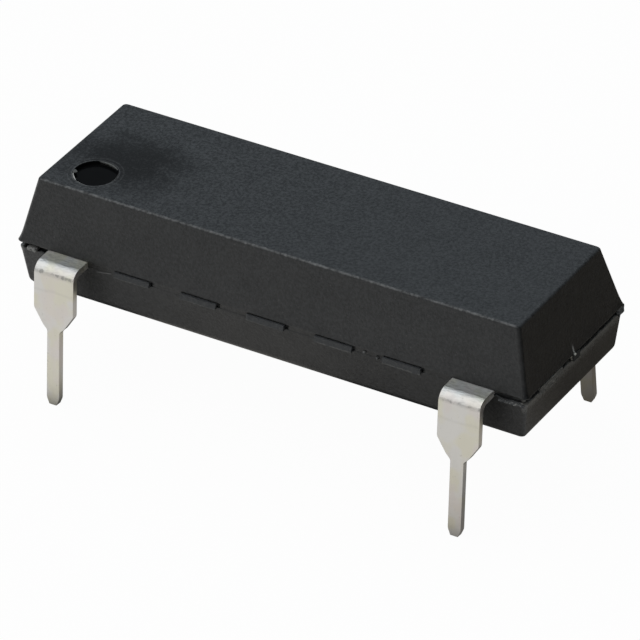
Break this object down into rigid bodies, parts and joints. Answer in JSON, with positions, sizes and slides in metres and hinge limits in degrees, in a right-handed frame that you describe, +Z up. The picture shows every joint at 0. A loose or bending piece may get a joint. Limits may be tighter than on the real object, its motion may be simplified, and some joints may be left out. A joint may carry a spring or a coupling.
{
  "type": "crystal oscillator",
  "caption": "Crystal oscillator: a long black moulded block with a round corner mark and flat tinned leads that bend down at its corners to plug into a circuit board.",
  "frame": {"origin": "middle of the package at the level of the lead tips", "axes": "+X along the package from the marked lead 1 end to the lead 7 and 8 end; +Z up out of the marked top face; leads 1 and 7 in front at -Y"},
  "size_m": [0.0192, 0.009, 0.0074],
  "materials": {
    "moulding": "fine matt moulded epoxy, slightly silvery on the top face",
    "plated_frame": "dull tin-lead plating",
    "silver_adhesive": "silver-filled epoxy",
    "silicon": "polished silicon",
    "gold": "bright gold wire",
    "can_metal": "nickel-plated, satin",
    "header_metal": "solder-plated, satin",
    "seal_glass": "dark blue-green glass",
    "quartz": "lapped quartz with silver films"
  },
  "bodies": {
    "root": {"moulded_body": "moulding", "lead_1": "plated_frame", "lead_7": "plated_frame", "lead_8": "plated_frame", "lead_14": "plated_frame", "crystal_tab_front": "plated_frame", "crystal_tab_back": "plated_frame", "die_attach": "silver_adhesive", "circuit_die": "silicon", "bond_wire_lead_1": "gold", "bond_wire_lead_14": "gold", "bond_wire_ground": "gold", "bond_wire_output": "gold", "bond_wire_tab_front": "gold", "bond_wire_tab_back": "gold", "crystal_can": "can_metal", "crystal_header": "header_metal", "crystal_seal": "seal_glass", "crystal_wire_front": "header_metal", "crystal_wire_back": "header_metal", "quartz_strip": "quartz", "strip_dab_front": "silver_adhesive", "strip_dab_back": "silver_adhesive"}
  },
  "joints": []
}
